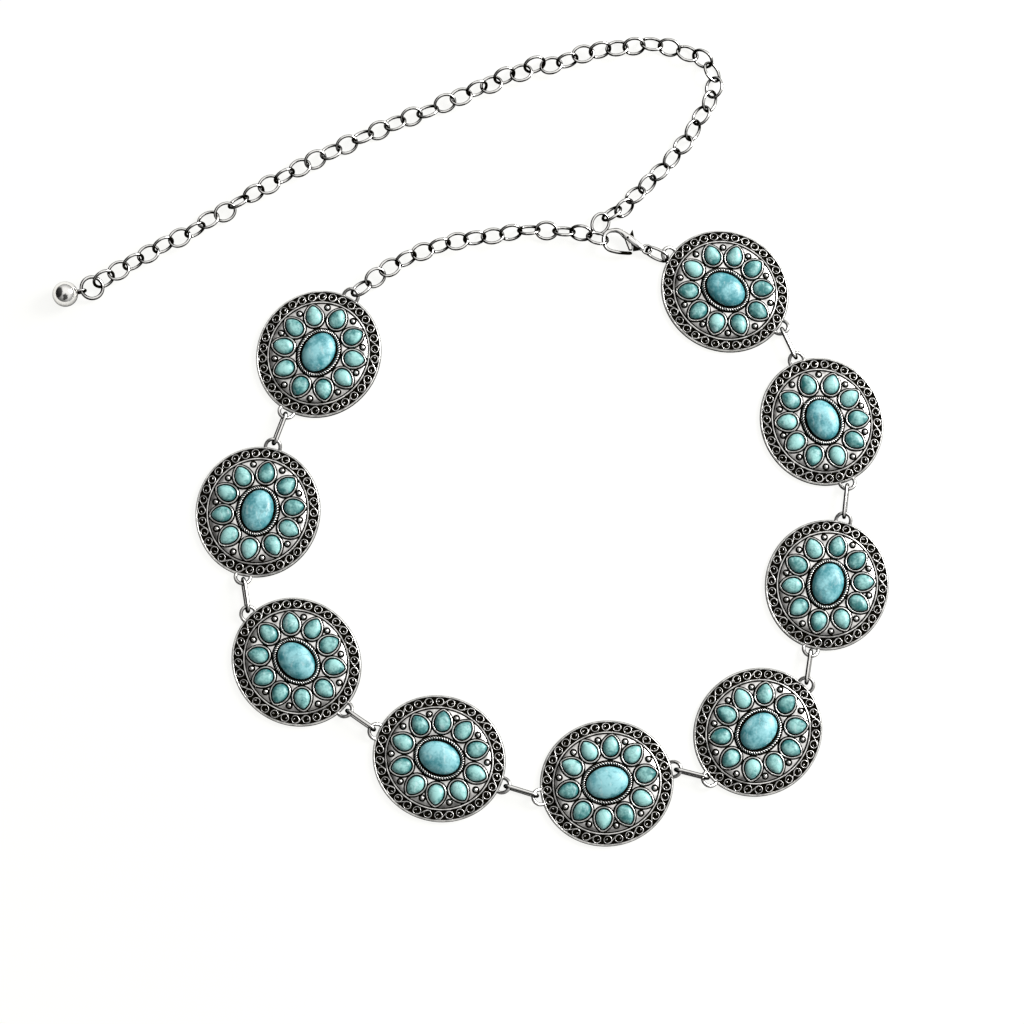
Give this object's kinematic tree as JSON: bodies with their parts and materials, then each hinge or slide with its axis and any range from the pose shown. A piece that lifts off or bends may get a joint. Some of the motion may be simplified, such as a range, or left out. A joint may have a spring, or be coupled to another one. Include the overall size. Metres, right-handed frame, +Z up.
{
  "type": "concho chain belt with turquoise stones",
  "caption": "Chain waist belt of oval conchos set with turquoise, joined by long links, with a lobster clasp and a free chain end with a ball.",
  "frame": {"origin": "middle of the lying belt's outline, on the surface that it lies on", "axes": "+Z up, away from the surface; +X along the longest extent, from the free end's ball towards the conchos at the right; +Y towards the chain's bend"},
  "size_m": [0.3348, 0.3308, 0.01],
  "materials": {
    "antique_silver": "oxidised and polished silver-coloured metal",
    "polished_silver": "polished silver-coloured metal",
    "centre_turquoise": "polished turquoise with fine veins",
    "petal_turquoise": "polished turquoise with fine veins"
  },
  "bodies": {
    "belt": {"concho_plate_1": "antique_silver", "concho_plate_2": "antique_silver", "concho_plate_3": "antique_silver", "concho_plate_4": "antique_silver", "concho_plate_5": "antique_silver", "concho_plate_6": "antique_silver", "concho_plate_7": "antique_silver", "concho_plate_8": "antique_silver", "concho_plate_9": "antique_silver", "centre_stone_1": "centre_turquoise", "centre_stone_2": "centre_turquoise", "centre_stone_3": "centre_turquoise", "centre_stone_4": "centre_turquoise", "centre_stone_5": "centre_turquoise", "centre_stone_6": "centre_turquoise", "centre_stone_7": "centre_turquoise", "centre_stone_8": "centre_turquoise", "centre_stone_9": "centre_turquoise", "petal_stones_1": "petal_turquoise", "petal_stones_2": "petal_turquoise", "petal_stones_3": "petal_turquoise", "petal_stones_4": "petal_turquoise", "petal_stones_5": "petal_turquoise", "petal_stones_6": "petal_turquoise", "petal_stones_7": "petal_turquoise", "petal_stones_8": "petal_turquoise", "petal_stones_9": "petal_turquoise", "connector_link_1": "polished_silver", "connector_link_2": "polished_silver", "connector_link_3": "polished_silver", "connector_link_4": "polished_silver", "connector_link_5": "polished_silver", "connector_link_6": "polished_silver", "connector_link_7": "polished_silver", "connector_link_8": "polished_silver", "short_chain": "polished_silver", "tail_chain_1": "polished_silver", "tail_chain_2": "polished_silver", "tail_chain_3": "polished_silver", "tail_chain_4": "polished_silver", "end_ring": "polished_silver", "end_ball": "polished_silver", "clasp_body": "polished_silver", "clasp_link": "polished_silver"},
    "lever": {"clasp_lever": "polished_silver"}
  },
  "joints": [
    {"name": "clasp_lever_hinge", "type": "hinge", "parent": "belt", "child": "lever", "pos_m": [0.06364, 0.08, 0.00315], "axis": [0.0941, 0, 0.9956], "range_deg": [-25, 0], "stiffness_Nm_per_rad": 0.001}
  ]
}
